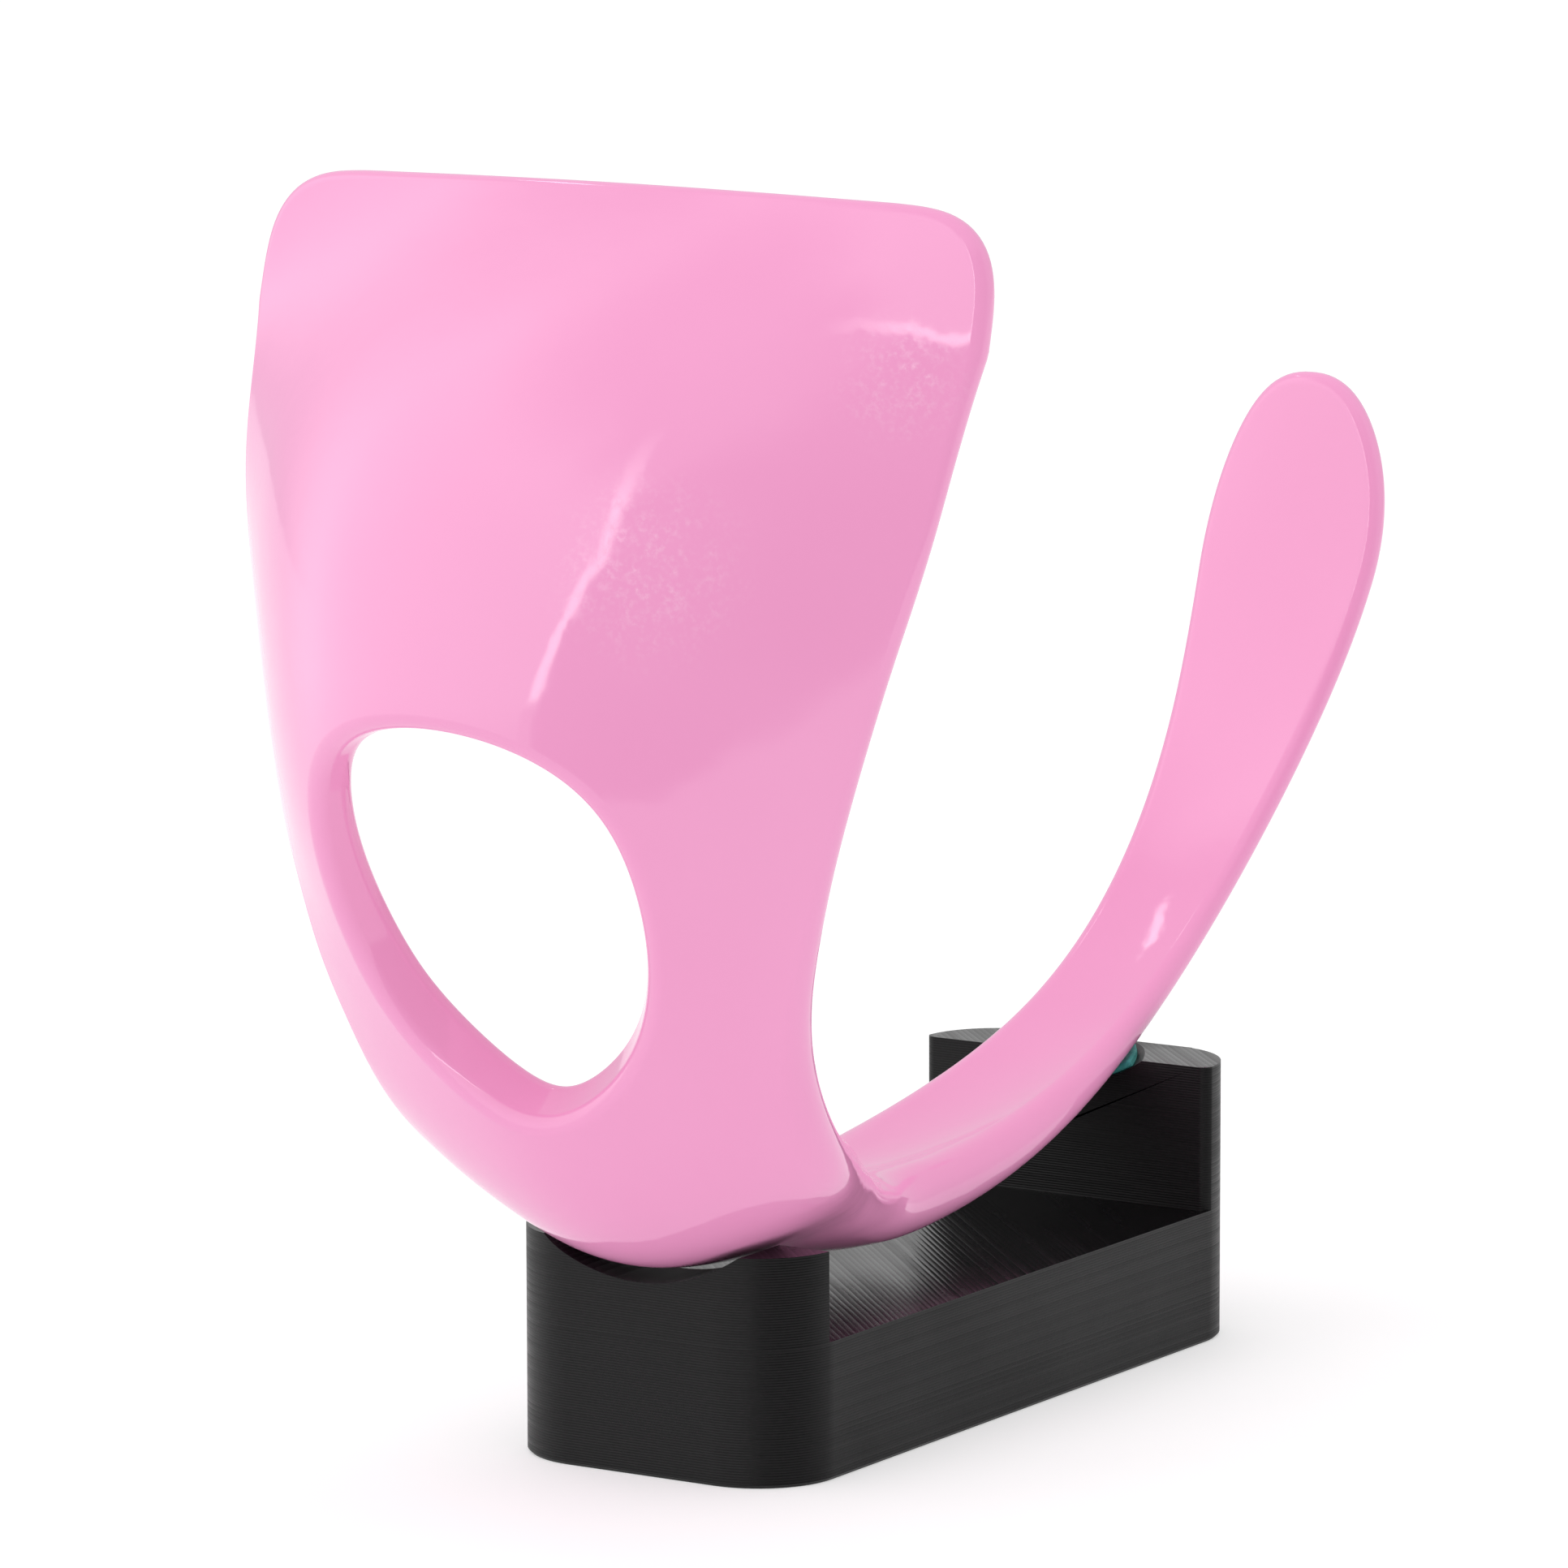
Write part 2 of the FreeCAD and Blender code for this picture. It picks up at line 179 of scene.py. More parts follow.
# ------------------------------------------------------------------ gentle hand-finished waviness
def ripple(x, s, k):
    xe = np.sqrt(x * x + 9.0) - 3.0         # level across the middle, so both halves meet smoothly
    ph = (0.7, 2.9, 4.4, 1.3)[k:] + (0.7, 2.9, 4.4, 1.3)[:k]
    v = np.sin(xe / 2.9 + s / 4.6 + ph[0]) + 0.8 * np.sin(-xe / 3.7 + s / 3.1 + ph[1]) + 0.6 * np.sin(xe / 1.9 - s / 6.3 + ph[2]) + 0.5 * np.sin(xe / 6.0 + s / 2.3 + ph[3])
    edge = np.interp(s, OUT[:, 1], OUT[:, 0]) - np.abs(x)
    edge = np.minimum(edge, np.minimum(s - 0.5, LEN - 1 - s))
    rho = np.sqrt((x / 12.5) ** 2 + ((s - HOLE_S) / HOLE_L) ** 2) - 1.0
    f = np.clip(np.minimum(edge, rho * 13.0) / 4.0, 0, 1)
    return 0.0075 * v * f * f * (3 - 2 * f)


def skin(side, k):
    def fn(x, s):
        n = normal_of(surf, x, s)
        return surf(x, s) + side * n * (f_t(s) / 2.0 + ripple(x, s, k))[..., None]
    return fn


# ------------------------------------------------------------------ triangulate the right half in (x, s)
def half_domain():
    spine_low = np.arange(LEN - 0.45, HOLE_S + HOLE_L + 0.3, -0.45)
    spine_top = np.arange(HOLE_S - HOLE_L - 0.4, 0.3, -0.45)
    loop = [tuple(p) for p in OUT] + [(0.0, v) for v in spine_low] + [tuple(p) for p in HOLE] + [(0.0, v) for v in spine_top]
    order_s = np.argsort(HOLE[:, 1])
    inner = []
    for row, s in enumerate(np.arange(0.42, LEN - 0.3, 0.42)):
        hi = float(np.interp(s, OUT[:, 1], OUT[:, 0])) - 0.3
        lo = 0.0
        if HOLE_S - HOLE_L < s < HOLE_S + HOLE_L:
            lo = float(np.interp(s, HOLE[order_s, 1], HOLE[order_s, 0]))
        if hi - lo < 0.5:
            continue
        n = max(2, int(round((hi - lo) / 0.46)))
        sh = 0.5 if row % 2 else 0.25
        for q in range(n):
            x = lo + (hi - lo) * (q + 0.25 + sh) / n
            if x - lo > 0.2 and hi - x > -0.05:
                # stay clear of the slanted ends of the opening
                near = np.min(np.hypot(HOLE[:, 0] - x, HOLE[:, 1] - s))
                far = np.min(np.hypot(OUT[:, 0] - x, OUT[:, 1] - s))
                if near > 0.22 and far > 0.22:
                    inner.append((x, s))
    pts = [Vector(p) for p in loop + inner]
    nl = len(loop)
    co, _e, fc, ov, _oe, _of = geometry.delaunay_2d_cdt(pts, [], [list(range(nl))], 1, 1e-7)
    assert len(co) == len(pts), (len(co), len(pts))
    # the routine may reorder the points: put the faces back on the input order
    back_map = [o[0] for o in ov]
    xy = np.array([tuple(p) for p in pts])
    tris = np.array([[back_map[i] for i in f] for f in fc])
    return xy, tris, nl


XY, TRI, NL = half_domain()
n_out, n_hole = len(OUT), len(HOLE)
hole0 = n_out + len(np.arange(LEN - 0.45, HOLE_S + HOLE_L + 0.3, -0.45))

verts, norms, faces = [], [], []


def put(p, n):
    base = sum(len(v) for v in verts)
    verts.append(p)
    norms.append(n)
    return base


def ring_frame(xy, closed_x0=True, flip_to=None):
    x, s = xy[:, 0], xy[:, 1]
    p = surf(x, s)
    n = normal_of(surf, x, s)
    ext = np.concatenate([surf(-xy[1:2, 0], xy[1:2, 1]), p, surf(-xy[-2:-1, 0], xy[-2:-1, 1])])
    t = unit(ext[2:] - ext[:-2])
    o = unit(np.cross(n, t))
    return p, n, o


def mirror(v):
    m = v.copy()
    m[..., 0] *= -1
    return m


def skin_part(side, k):
    fn = skin(side, k)
    p = fn(XY[:, 0], XY[:, 1])
    n = side * normal_of(fn, XY[:, 0], XY[:, 1])
    mid = np.abs(XY[:, 0]) < 1e-9
    p[mid, 0] = 0.0
    n[mid, 0] = 0.0
    n = unit(n)
    b1 = put(p, n)
    b2 = put(mirror(p), mirror(n))
    idx1 = np.arange(len(XY)) + b1
    idx2 = np.where(mid, idx1, np.arange(len(XY)) + b2)
    for base_idx, pp in ((idx1, p), (idx2, mirror(p))):
        tri = TRI
        fnrm = np.cross(pp[tri[:, 1]] - pp[tri[:, 0]], pp[tri[:, 2]] - pp[tri[:, 0]])
        ref = (n if base_idx is idx1 else mirror(n))[tri[:, 0]]
        good = (fnrm * ref).sum(1) > 0
        t = np.where(good[:, None], tri, tri[:, ::-1])
        faces.extend(base_idx[t].tolist())
    return idx1, idx2


outer1, outer2 = skin_part(1.0, 0)
inner1, inner2 = skin_part(-1.0, 2)


def strip(p, rows_p, rows_n, first, last, sgn):
    """Rows of a rounded edge between two skins. first and last are index arrays of the skins' vertices."""
    prev = first
    k = len(rows_p)
    for j in range(k + 1):
        if j < k:
            b = put(rows_p[j], rows_n[j])
            cur = np.arange(len(rows_p[j])) + b
        else:
            cur = last
        for i in range(len(cur) - 1):
            q = [int(prev[i]), int(prev[i + 1]), int(cur[i + 1]), int(cur[i])]
            faces.append(q if sgn > 0 else q[::-1])
        prev = cur


# outer rim: half-round
p, n, o = ring_frame(OUT)
mid = surf(np.zeros(len(OUT)), np.clip(OUT[:, 1], 12.0, LEN - 8.0))
sg = np.sign(((p - mid) * o).sum(1))
o = o * sg[:, None]
for e in (0, -1):
    o[e, 0] = 0.0
    n[e, 0] = 0.0
o, n = unit(o), unit(n)
r = (f_t(OUT[:, 1]) / 2.0)[:, None]
NR = 18
ang = [math.pi / 2 - math.pi * (j + 1) / NR for j in range(NR - 1)]
rp = [p + r * (math.cos(b) * o + math.sin(b) * n) for b in ang]
rn = [unit(math.cos(b) * o + math.sin(b) * n) for b in ang]
rim_idx = np.arange(n_out)
strip(None, rp, rn, outer1[rim_idx], inner1[rim_idx], 1)
strip(None, [mirror(v) for v in rp], [mirror(v) for v in rn], outer2[rim_idx], inner2[rim_idx], -1)

# edge of the opening: rounded over on both sides, straight between
p, n, o = ring_frame(HOLE)
cen = surf(np.zeros(n_hole), np.full(n_hole, HOLE_S))
sg = np.sign(((cen - p) * o).sum(1))
o = o * sg[:, None]
for e in (0, -1):
    o[e, 0] = 0.0
    n[e, 0] = 0.0
o, n = unit(o), unit(n)
r = (f_t(HOLE[:, 1]) / 2.0)[:, None]
rr = np.minimum(r - 0.05, HOLE_EDGE)
rp, rn = [], []
for j in range(1, 10):
    b = math.pi / 2 * (1 - j / 9.0)
    rp.append(p + rr * math.cos(b) * o + ((r - rr) + rr * math.sin(b)) * n)
    rn.append(unit(math.cos(b) * o + math.sin(b) * n))
for j in range(0, 9):
    b = math.pi / 2 * j / 9.0
    rp.append(p + rr * math.cos(b) * o - ((r - rr) + rr * math.sin(b)) * n)
    rn.append(unit(math.cos(b) * o - math.sin(b) * n))
h_idx = np.arange(n_hole) + hole0
strip(None, rp, rn, outer1[h_idx], inner1[h_idx], 1)
strip(None, [mirror(v) for v in rp], [mirror(v) for v in rn], outer2[h_idx], inner2[h_idx], -1)

V = np.concatenate(verts) * MM
N = np.concatenate(norms)
F = faces


def ease(v, a, b):
    q = np.clip((v - a) / (b - a), 0, 1)
    return q * q * (3 - 2 * q)


def relax_waist(P, Nv, tris):
    """Eases the crease where the arms run into the tail, and gives new normals there. P in mm."""
    m = ease(P[:, 1], -45.0, -37.0) * (1 - ease(P[:, 1], 0.0, 9.0))
    m *= np.where(P[:, 1] < -24.0, ease(P[:, 2], 18.2, 21.5), ease(P[:, 2], 18.2 - 3.0 * ease(P[:, 1], -24.0, -19.0), 21.5 - 5.0 * ease(P[:, 1], -24.0, -19.0)))
    m *= 1 - ease(P[:, 2], 36.0, 46.0)
    e = np.concatenate([tris[:, [0, 1]], tris[:, [1, 2]], tris[:, [2, 0]]])
    e = np.unique(np.sort(e, 1), axis=0)
    e = e[(m[e[:, 0]] > 0) | (m[e[:, 1]] > 0)]
    i, j = np.r_[e[:, 0], e[:, 1]], np.r_[e[:, 1], e[:, 0]]
    n = len(P)
    deg = np.maximum(np.bincount(i, minlength=n), 1)[:, None]
    sel = m > 0
    Q = P.copy()
    # the hollow side of the thick waist, where its skin is tightest, gets a stronger easing
    fold = ease(P[:, 1], -28.0, -22.0) * (1 - ease(P[:, 1], -9.0, -2.0)) * ease(Nv[:, 2], 0.25, 0.6)
    for step in range(270):
        for lam, w in (((0.6, m * fold),) if step < 50 else ((0.5, m), (-0.503, m))):
            avg = np.stack([np.bincount(i, weights=Q[j, k], minlength=n) for k in range(3)], -1) / deg
            Q[sel] += (lam * w[:, None] * (avg - Q))[sel]
    fn = np.cross(Q[tris[:, 1]] - Q[tris[:, 0]], Q[tris[:, 2]] - Q[tris[:, 0]])
    g = np.stack([np.bincount(tris.ravel(), weights=np.repeat(fn[:, k], 3), minlength=n) for k in range(3)], -1)
    g = unit(g)
    g *= np.sign((g * Nv).sum(1, keepdims=True) + 1e-9)
    w = ease(m, 0.0, 0.35)[:, None]
    return Q, unit((1 - w) * Nv + w * g)


def build_mesh(name, V, N, F):
    """Closed mesh: joins the halves at the middle, drops loose points, keeps the worked-out normals."""
    used = np.unique(np.concatenate([np.asarray(f) for f in F]))
    key = {}
    remap = np.full(len(V), -1)
    keep = []
    for i in used:
        k = tuple(np.round(V[i] / 2e-7).astype(np.int64))
        if k in key:
            remap[i] = key[k]
        else:
            key[k] = remap[i] = len(keep)
            keep.append(i)
    out = []
    for f in F:
        g = []
        for i in f:
            j = int(remap[i])
            if j not in g:
                g.append(j)
        if len(g) > 2:
            out.append(g)
    tris = np.array([f for f in out if len(f) == 3] + [g for f in out if len(f) == 4 for g in (f[:3], [f[0], f[2], f[3]])])
    P, Nv = relax_waist(V[keep] / MM, N[keep], tris)
    print("waist moved at most", round(float(np.linalg.norm(P - V[keep] / MM, axis=1).max()), 2), "mm")
    me = bpy.data.meshes.new(name)
    me.from_pydata((P * MM).tolist(), [], out)
    me.validate()
    bm = bmesh.new()
    bm.from_mesh(me)
    bmesh.ops.recalc_face_normals(bm, faces=bm.faces)
    open_edges = sum(1 for e in bm.edges if len(e.link_faces) != 2)
    vol = bm.calc_volume(signed=True)
    if vol < 0:
        bmesh.ops.reverse_faces(bm, faces=bm.faces)
    bm.to_mesh(me)
    bm.free()
    print(name, "verts", len(keep), "faces", len(out), "open edges", open_edges, "volume mm3", round(abs(vol) * 1e9, 1))
    for pl in me.polygons:
        pl.use_smooth = True
    me.normals_split_custom_set_from_vertices([tuple(v) for v in Nv])
    ob = bpy.data.objects.new(name, me)
    scene.collection.objects.link(ob)
    return ob


cuff = build_mesh("cuff_shell", V, N, F)


# ------------------------------------------------------------------ stand: the CAD shape with small broken edges
FAR_Y, FAR_TOP, FAR_HALF, FAR_D, FAR_RISE = 27.25, 21.95, 7.2, 2.25, 0.30
FAR_R = (FAR_HALF ** 2 + FAR_D ** 2) / (2 * FAR_D)
FAR_V = FAR_R / math.cos(math.atan(FAR_RISE))       # vertical half axis of the tilted notch's section


def prism(name, loop, direction):
    """Closed prism from a loop of points (mm) and a sweep vector (mm)."""
    b = bmesh.new()
    lo = [b.verts.new(Vector(q) * MM) for q in loop]
    hi = [b.verts.new((Vector(q) + Vector(direction)) * MM) for q in loop]
    b.faces.new(lo)
    b.faces.new(hi[::-1])
    for i in range(len(loop)):
        j = (i + 1) % len(loop)
        b.faces.new((lo[j], lo[i], hi[i], hi[j]))
    bmesh.ops.recalc_face_normals(b, faces=b.faces)
    me = bpy.data.meshes.new(name)
    b.to_mesh(me)
    b.free()
    ob = bpy.data.objects.new(name, me)
    scene.collection.objects.link(ob)
    return ob


def combine(ob, tool, op):
    md = ob.modifiers.new(op, "BOOLEAN")
    md.operation = op
    md.solver = "EXACT"
    md.object = tool
    deps = bpy.context.evaluated_depsgraph_get()
    me = bpy.data.meshes.new_from_object(ob.evaluated_get(deps))
    ob.modifiers.remove(md)
    old_me = ob.data
    ob.data = me
    bpy.data.meshes.remove(old_me)
    tm = tool.data
    bpy.data.objects.remove(tool)
    bpy.data.meshes.remove(tm)


def stand_piece():
    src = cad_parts["cradle_stand"]
    bm = bmesh.new()
    bm.from_mesh(src.data)
    bmesh.ops.remove_doubles(bm, verts=bm.verts, dist=2e-6)
    bmesh.ops.dissolve_limit(bm, angle_limit=math.radians(0.4), verts=bm.verts, edges=bm.edges, delimit=set())
    me = bpy.data.meshes.new("stand_print")
    bm.to_mesh(me)
    bm.free()
    ob = bpy.data.objects.new("stand_print", me)
    scene.collection.objects.link(ob)
    # the far notch follows the tail's rise: close the level one, cut the tilted one
    b = 7.6
    y1 = 34.15
    combine(ob, prism("fill", [(-b, FAR_Y, 19.2), (b, FAR_Y, 19.2), (b, FAR_Y, FAR_TOP), (-b, FAR_Y, FAR_TOP)], (0, y1 - FAR_Y, 0)), "UNION")
    run = 14.0
    y_s = FAR_Y - 3.0
    arc = []
    for i in range(121):
        u = math.radians(-60 + i)
        arc.append((FAR_R * math.sin(u), y_s, FAR_TOP - FAR_D + FAR_V - FAR_V * math.cos(u) + FAR_RISE * (y_s - FAR_Y)))
    arc += [(FAR_R, y_s, 45.0), (-FAR_R, y_s, 45.0)]
    combine(ob, prism("cut", arc, (0, run, FAR_RISE * run)), "DIFFERENCE")
    # the tall tower's inner corners are rounded
    rc = 0.9
    for sx in (-1, 1):
        loop = [(sx * 13.3, FAR_Y - 0.3, 10.5), (sx * 13.3, FAR_Y + rc, 10.5)]
        for i in range(13):
            a2 = math.pi / 2 * i / 12
            loop.append((sx * (13.0 - rc + rc * math.cos(a2)), FAR_Y + rc - rc * math.sin(a2), 10.5))
        loop.append((sx * (13.0 - rc), FAR_Y - 0.3, 10.5))
        combine(ob, prism("corner", loop, (0, 0, 14)), "DIFFERENCE")
    me = ob.data
    bm = bmesh.new()
    bm.from_mesh(me)
    bmesh.ops.remove_doubles(bm, verts=bm.verts, dist=4e-6)
    bmesh.ops.dissolve_limit(bm, angle_limit=math.radians(0.4), verts=bm.verts, edges=bm.edges, delimit=set())
    bm.normal_update()
    hard = [e for e in bm.edges if len(e.link_faces) == 2 and e.calc_face_angle(0) > math.radians(28)]
    bmesh.ops.bevel(bm, geom=hard, offset=0.00011, offset_type="OFFSET", segments=3, profile=0.5, affect="EDGES", clamp_overlap=True)
    bmesh.ops.connect_verts_nonplanar(bm, angle_limit=math.radians(0.5), faces=[f for f in bm.faces if len(f.verts) > 4])
    bmesh.ops.triangulate(bm, faces=[f for f in bm.faces if len(f.verts) > 4], ngon_method="BEAUTY")
    bm.normal_update()
    bm.to_mesh(me)
    bm.free()
    me.shade_smooth()
    me.set_sharp_from_angle(angle=math.radians(50))
    # large flat faces keep their own normals, so only the small roundings shade smoothly
    md = ob.modifiers.new("flats", "WEIGHTED_NORMAL")
    md.weight = 50
    md.keep_sharp = True
    me = bpy.data.meshes.new_from_object(ob.evaluated_get(bpy.context.evaluated_depsgraph_get()))
    ob.modifiers.remove(md)
    old_me = ob.data
    ob.data = me
    bpy.data.meshes.remove(old_me)
    me.name = "stand_print"
    return ob


stand = stand_piece()


# ------------------------------------------------------------------ pad: a thin foam strip lining the far notch
def pad_piece():
    lo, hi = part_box("notch_pad")
    half, y0, y1 = (hi.x - lo.x) / 2 / MM, lo.y / MM, hi.y / MM
    zlow = lo.z / MM
    t = 0.6
    R = (7.2 ** 2 + 2.25 ** 2) / (2 * 2.25)
    nx, ny, nt = 72, 40, 6
    reach = math.asin(half / R) - 0.004
    b = 0.14
    vs, fs = [], []

    def section(u):
        """Closed loop across y at angle u: rounded strip section."""
        loop = []
        for k in range(ny + 1):
            loop.append((y0 + b + (y1 - y0 - 2 * b) * k / ny, 0.0, 1))
        for k in range(1, nt):
            an = math.pi * k / nt
            loop.append((y1 - b + b * math.sin(an), (t / 2) * (1 - math.cos(an)), 0))
        for k in range(ny, -1, -1):
            loop.append((y0 + b + (y1 - y0 - 2 * b) * k / ny, t, -1))
        for k in range(1, nt):
            an = math.pi * k / nt
            loop.append((y0 + b - b * math.sin(an), t - (t / 2) * (1 - math.cos(an)), 0))
        out = []
        for y, h, side in loop:
            wob = 0.02 * (math.sin(y * 3.1 + u * 40) + math.sin(y * 5.3 - u * 27)) * (h / t)
            end = max(0.0, (abs(u) / reach - 0.93) / 0.07)
            hh = 0.02 + (h - 0.02) * (1 - 0.35 * end * end) + wob * 0.6 - 0.03 * (h / t)
            dy = y - FAR_Y
            q = u * 0.93 * math.sqrt(max(0.1, 1 - FAR_RISE * dy / FAR_D))
            out.append((math.sin(q) * (R - hh), y, zlow + FAR_RISE * dy + FAR_V - math.cos(q) * (FAR_V - hh)))
        return out
    rows = [section(-reach + 2 * reach * i / nx) for i in range(nx + 1)]
    m = len(rows[0])
    for row in rows:
        vs.extend(row)
    for i in range(nx):
        for j in range(m):
            k = (j + 1) % m
            fs.append((i * m + j, i * m + k, (i + 1) * m + k, (i + 1) * m + j))
    fs.append(tuple(range(m))[::-1])
    fs.append(tuple(nx * m + j for j in range(m)))
    me = bpy.data.meshes.new("pad_strip")
    me.from_pydata([tuple(c * MM for c in v) for v in vs], [], fs)
    me.validate()
    bm = bmesh.new()
    bm.from_mesh(me)
    bmesh.ops.recalc_face_normals(bm, faces=bm.faces)
    bm.to_mesh(me)
    bm.free()
    me.shade_smooth()
    me.set_sharp_from_angle(angle=math.radians(50))
    ob = bpy.data.objects.new("pad_strip", me)
    scene.collection.objects.link(ob)
    return ob


pad = pad_piece()


# ------------------------------------------------------------------ materials
def new_mat(name):
    m = bpy.data.materials.new(name)
    m.use_nodes = True
    nt = m.node_tree
    nt.nodes.clear()
    out = nt.nodes.new("ShaderNodeOutputMaterial")
    b = nt.nodes.new("ShaderNodeBsdfPrincipled")
    nt.links.new(b.outputs[0], out.inputs[0])
    return m, nt, b


def node(nt, kind, **kw):
    n = nt.nodes.new(kind)
    for k, v in kw.items():
        setattr(n, k, v)
    return n


def math_node(nt, op, a, b=None, clamp=False):
    n = node(nt, "ShaderNodeMath", operation=op, use_clamp=clamp)
    for i, v in enumerate((a, b)):
        if v is None:
            continue
        if isinstance(v, (int, float)):
            n.inputs[i].default_value = v
        else:
            nt.links.new(v, n.inputs[i])
    return n.outputs[0]


def coords(nt):
    tc = node(nt, "ShaderNodeTexCoord")
    return tc.outputs["Object"]


def noise(nt, vec, scale, detail=2.0, rough=0.5, dist=0.0):
    n = node(nt, "ShaderNodeTexNoise")
    n.inputs["Scale"].default_value = scale
    n.inputs["Detail"].default_value = detail
    n.inputs["Roughness"].default_value = rough
    n.inputs["Distortion"].default_value = dist
    nt.links.new(vec, n.inputs["Vector"])
    return n.outputs["Fac"]


def remap(nt, v, a, b, c, d, smooth=False):
    n = node(nt, "ShaderNodeMapRange", interpolation_type="SMOOTHSTEP" if smooth else "LINEAR")
    nt.links.new(v, n.inputs["Value"])
    for k, x in zip(("From Min", "From Max", "To Min", "To Max"), (a, b, c, d)):
        n.inputs[k].default_value = x
    return n.outputs[0]


def mix(nt, fac, a, b, mode="MIX"):
    n = node(nt, "ShaderNodeMix", data_type="RGBA", blend_type=mode)
    nt.links.new(fac, n.inputs[0])
    for sock, v in ((n.inputs[6], a), (n.inputs[7], b)):
        if isinstance(v, tuple):
            sock.default_value = v
        else:
            nt.links.new(v, sock)
    return n.outputs[2]


def bump(nt, height, dist, strength=1.0, prev=None):
    n = node(nt, "ShaderNodeBump")
    n.inputs["Strength"].default_value = strength
    n.inputs["Distance"].default_value = dist
    nt.links.new(height, n.inputs["Height"])
    if prev is not None:
        nt.links.new(prev, n.inputs["Normal"])
    return n.outputs[0]


def near_point(nt, vec, p, r0, r1):
    d = node(nt, "ShaderNodeVectorMath", operation="DISTANCE")
    nt.links.new(vec, d.inputs[0])
    d.inputs[1].default_value = tuple(c * MM for c in p)
    return remap(nt, d.outputs["Value"], r0 * MM, r1 * MM, 1.0, 0.0, True)


WORLD, KEY, TOP = 0.72, 0.58, 0.45      # broad white light of the studio
WRAP, STRIP, TUBE, FLAG = 1.95, 6.3, 5.0, 0.10   # what the gloss reflects
PINK = (0.850, 0.330, 0.577, 1.0)


def cuff_material():
    m, nt, b = new_mat("gloss_pink")
    v = coords(nt)
    big = noise(nt, v, 38, 2.0)
    col = mix(nt, remap(nt, big, 0.3, 0.7, 0.0, 1.0), (PINK[0] * 1.012, PINK[1] * 1.03, PINK[2] * 1.02, 1), (PINK[0] * 0.988, PINK[1] * 0.965, PINK[2] * 0.98, 1))
    # faint dusty scuffs where the front has been rubbed
    patch = math_node(nt, "MAXIMUM", near_point(nt, v, (14.5, -54.0, 71.0), 2.0, 9.0), near_point(nt, v, (27.0, -40.5, 84.0), 1.0, 6.5))
    fine = noise(nt, v, 2300, 3.0, 0.7)
    tufts = noise(nt, v, 700, 3.0, 0.6)
    scuff = math_node(nt, "MULTIPLY", patch, math_node(nt, "MULTIPLY", remap(nt, fine, 0.46, 0.66, 0, 1), remap(nt, tufts, 0.36, 0.56, 0.15, 1)))
    col = mix(nt, math_node(nt, "MULTIPLY", scuff, 0.26), col, (0.93, 0.62, 0.76, 1))
    # a few specks caught in the coat
    vo = node(nt, "ShaderNodeTexVoronoi", feature="F1")
    vo.inputs["Scale"].default_value = 150
    nt.links.new(v, vo.inputs["Vector"])
    dot = remap(nt, vo.outputs["Distance"], 0.006, 0.013, 1.0, 0.0, True)
    sep = node(nt, "ShaderNodeSeparateColor")
    nt.links.new(vo.outputs["Color"], sep.inputs[0])
    pick = math_node(nt, "GREATER_THAN", sep.outputs[0], 0.80)
    speck = math_node(nt, "MULTIPLY", dot, pick)
    col = mix(nt, math_node(nt, "MULTIPLY", speck, 0.65), col, (0.42, 0.10, 0.24, 1))
    nt.links.new(col, b.inputs["Base Color"])
    rough = math_node(nt, "ADD", remap(nt, noise(nt, v, 90, 3.0), 0.3, 0.7, 0.045, 0.085), math_node(nt, "MULTIPLY", scuff, 0.22))
    nt.links.new(rough, b.inputs["Roughness"])
    b.inputs["IOR"].default_value = 1.5
    peel = noise(nt, v, 330, 2.0, 0.45, 0.3)
    n1 = bump(nt, peel, 0.000022, 1.0)
    wave = noise(nt, v, 120, 1.0, 0.4)
    n2 = bump(nt, wave, 0.00005, 1.0, n1)
    n3 = bump(nt, speck, 0.00002, 1.0, n2)
    nt.links.new(n3, b.inputs["Normal"])
    return m


